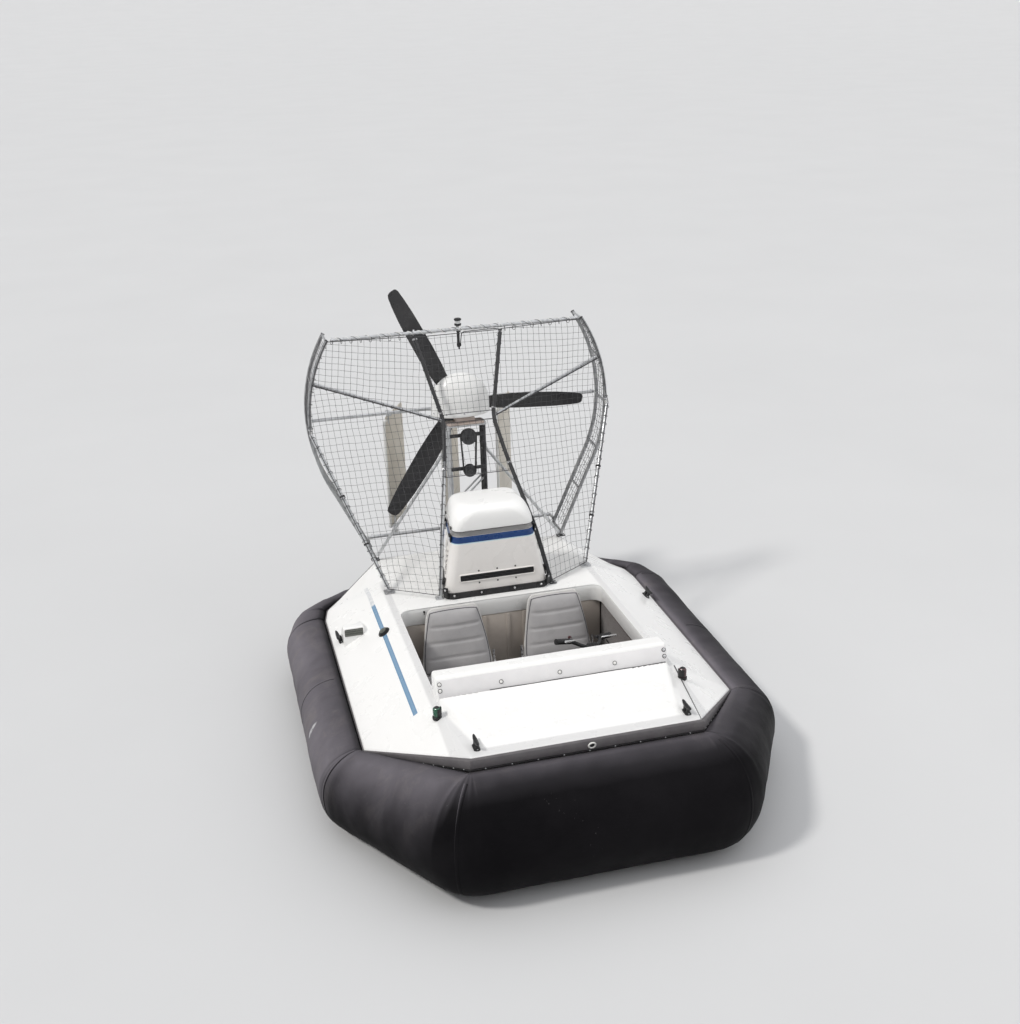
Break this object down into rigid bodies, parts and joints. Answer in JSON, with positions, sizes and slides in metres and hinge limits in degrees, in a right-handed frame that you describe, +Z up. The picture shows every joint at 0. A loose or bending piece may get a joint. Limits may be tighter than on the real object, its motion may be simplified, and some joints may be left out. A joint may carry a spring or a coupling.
{
  "type": "hovercraft",
  "caption": "Light two-seat hovercraft with a rounded bag skirt, open cockpit, hooded engine, netted propeller guard and rudders behind the propeller.",
  "frame": {"origin": "centre of the bounding box at the floor the craft is parked on", "axes": "bow toward -Y, port toward +X, +Z up"},
  "size_m": [2.452, 3.354, 2.2543],
  "materials": {
    "gelcoat": "white moulded glass-fibre gel coat, semi-gloss",
    "lining": "grey cockpit lining and unfinished hull sides",
    "skid": "black wear strip",
    "bag": "black coated skirt fabric, satin",
    "bumper": "dark grey moulded bumper, matt",
    "trim": "black edge batten, matt",
    "board": "pale grey painted board",
    "seat": "pale grey moulded folding seat",
    "panel": "black instrument panel",
    "black_tube": "black painted tube",
    "grip": "black painted handlebar with rubber grips",
    "engine": "grey engine casting",
    "tube": "galvanised steel tube",
    "belt": "black toothed belt",
    "blade": "black moulded blades",
    "white_tube": "white painted tube",
    "net": "black knotted cord netting",
    "rudder": "cream moulded blade on a white tube",
    "lamp": "white lamp housing"
  },
  "bodies": {
    "craft": {"foredeck": "gelcoat", "aft_deck": "gelcoat", "side_deck_port": "gelcoat", "side_deck_starboard": "gelcoat", "hull_bottom": "gelcoat", "bow_hull": "lining", "stern_hull": "lining", "side_hull_port": "lining", "side_hull_starboard": "lining", "skid_port": "skid", "skid_starboard": "skid", "skirt_bow": "bag", "skirt_stern": "bag", "skirt_bow_corner_port": "bag", "skirt_bow_corner_starboard": "bag", "skirt_side_port": "bag", "skirt_side_starboard": "bag", "skirt_stern_corner_port": "bag", "skirt_stern_corner_starboard": "bag", "bow_bumper": "bumper", "edge_batten_port": "trim", "edge_batten_starboard": "trim", "foredeck_panel": "gelcoat", "coaming_beam": "gelcoat", "coaming_board": "board", "seat_port": "seat", "seat_starboard": "seat", "instrument_panel": "panel", "steering_post": "black_tube", "engine_cowl": "gelcoat", "engine_block": "engine", "drive_tower": "tube", "pulley_dome": "gelcoat", "drive_belt": "belt", "guard_hoop_port": "tube", "guard_hoop_starboard": "tube", "guard_leg_port": "white_tube", "guard_leg_starboard": "white_tube", "guard_inner_post_port": "tube", "guard_inner_post_starboard": "tube", "guard_top_bar": "tube", "guard_cross_bar": "tube", "guard_lower_bar": "tube", "guard_brace_port": "tube", "guard_brace_starboard": "tube", "net_upper_centre": "net", "net_lower_centre": "net", "net_upper_port": "net", "net_upper_starboard": "net", "net_lower_port": "net", "net_lower_starboard": "net", "mast_light": "lamp"},
    "propeller": {"propeller": "blade"},
    "handlebar": {"handlebar": "grip"},
    "cowl_cap": {"cowl_cap": "gelcoat"},
    "rudder_port": {"rudder_port": "rudder"},
    "rudder_centre": {"rudder_centre": "rudder"},
    "rudder_starboard": {"rudder_starboard": "rudder"}
  },
  "joints": [
    {"name": "propeller_spin", "type": "hinge", "parent": "craft", "child": "propeller", "pos_m": [0, 1.2791, 1.505], "axis": [0, 1, 0], "continuous": true},
    {"name": "steering", "type": "hinge", "parent": "craft", "child": "handlebar", "pos_m": [0.34, -0.38914, 0.55777], "axis": [0, 0.5, 0.866], "range_deg": [-77, 2.6]},
    {"name": "rudder_port_turn", "type": "hinge", "parent": "craft", "child": "rudder_port", "pos_m": [0.307, 1.4241, 1.06], "axis": [0, 0, 1], "range_deg": [-2, 58]},
    {"name": "rudder_centre_turn", "type": "hinge", "parent": "craft", "child": "rudder_centre", "pos_m": [-0.055, 1.4241, 1.06], "axis": [0, 0, 1], "range_deg": [-2, 58]},
    {"name": "rudder_starboard_turn", "type": "hinge", "parent": "craft", "child": "rudder_starboard", "pos_m": [-0.417, 1.4241, 1.06], "axis": [0, 0, 1], "range_deg": [-2, 58]},
    {"name": "cowl_cap_hinge", "type": "hinge", "parent": "craft", "child": "cowl_cap", "pos_m": [0, 0.3811, 1.018], "axis": [1, 0, 0], "range_deg": [0, 70]}
  ],
  "couplings": [
    {"joint": "rudder_port_turn", "follows": "steering", "ratio": -0.75},
    {"joint": "rudder_centre_turn", "follows": "steering", "ratio": -0.75},
    {"joint": "rudder_starboard_turn", "follows": "steering", "ratio": -0.75}
  ]
}
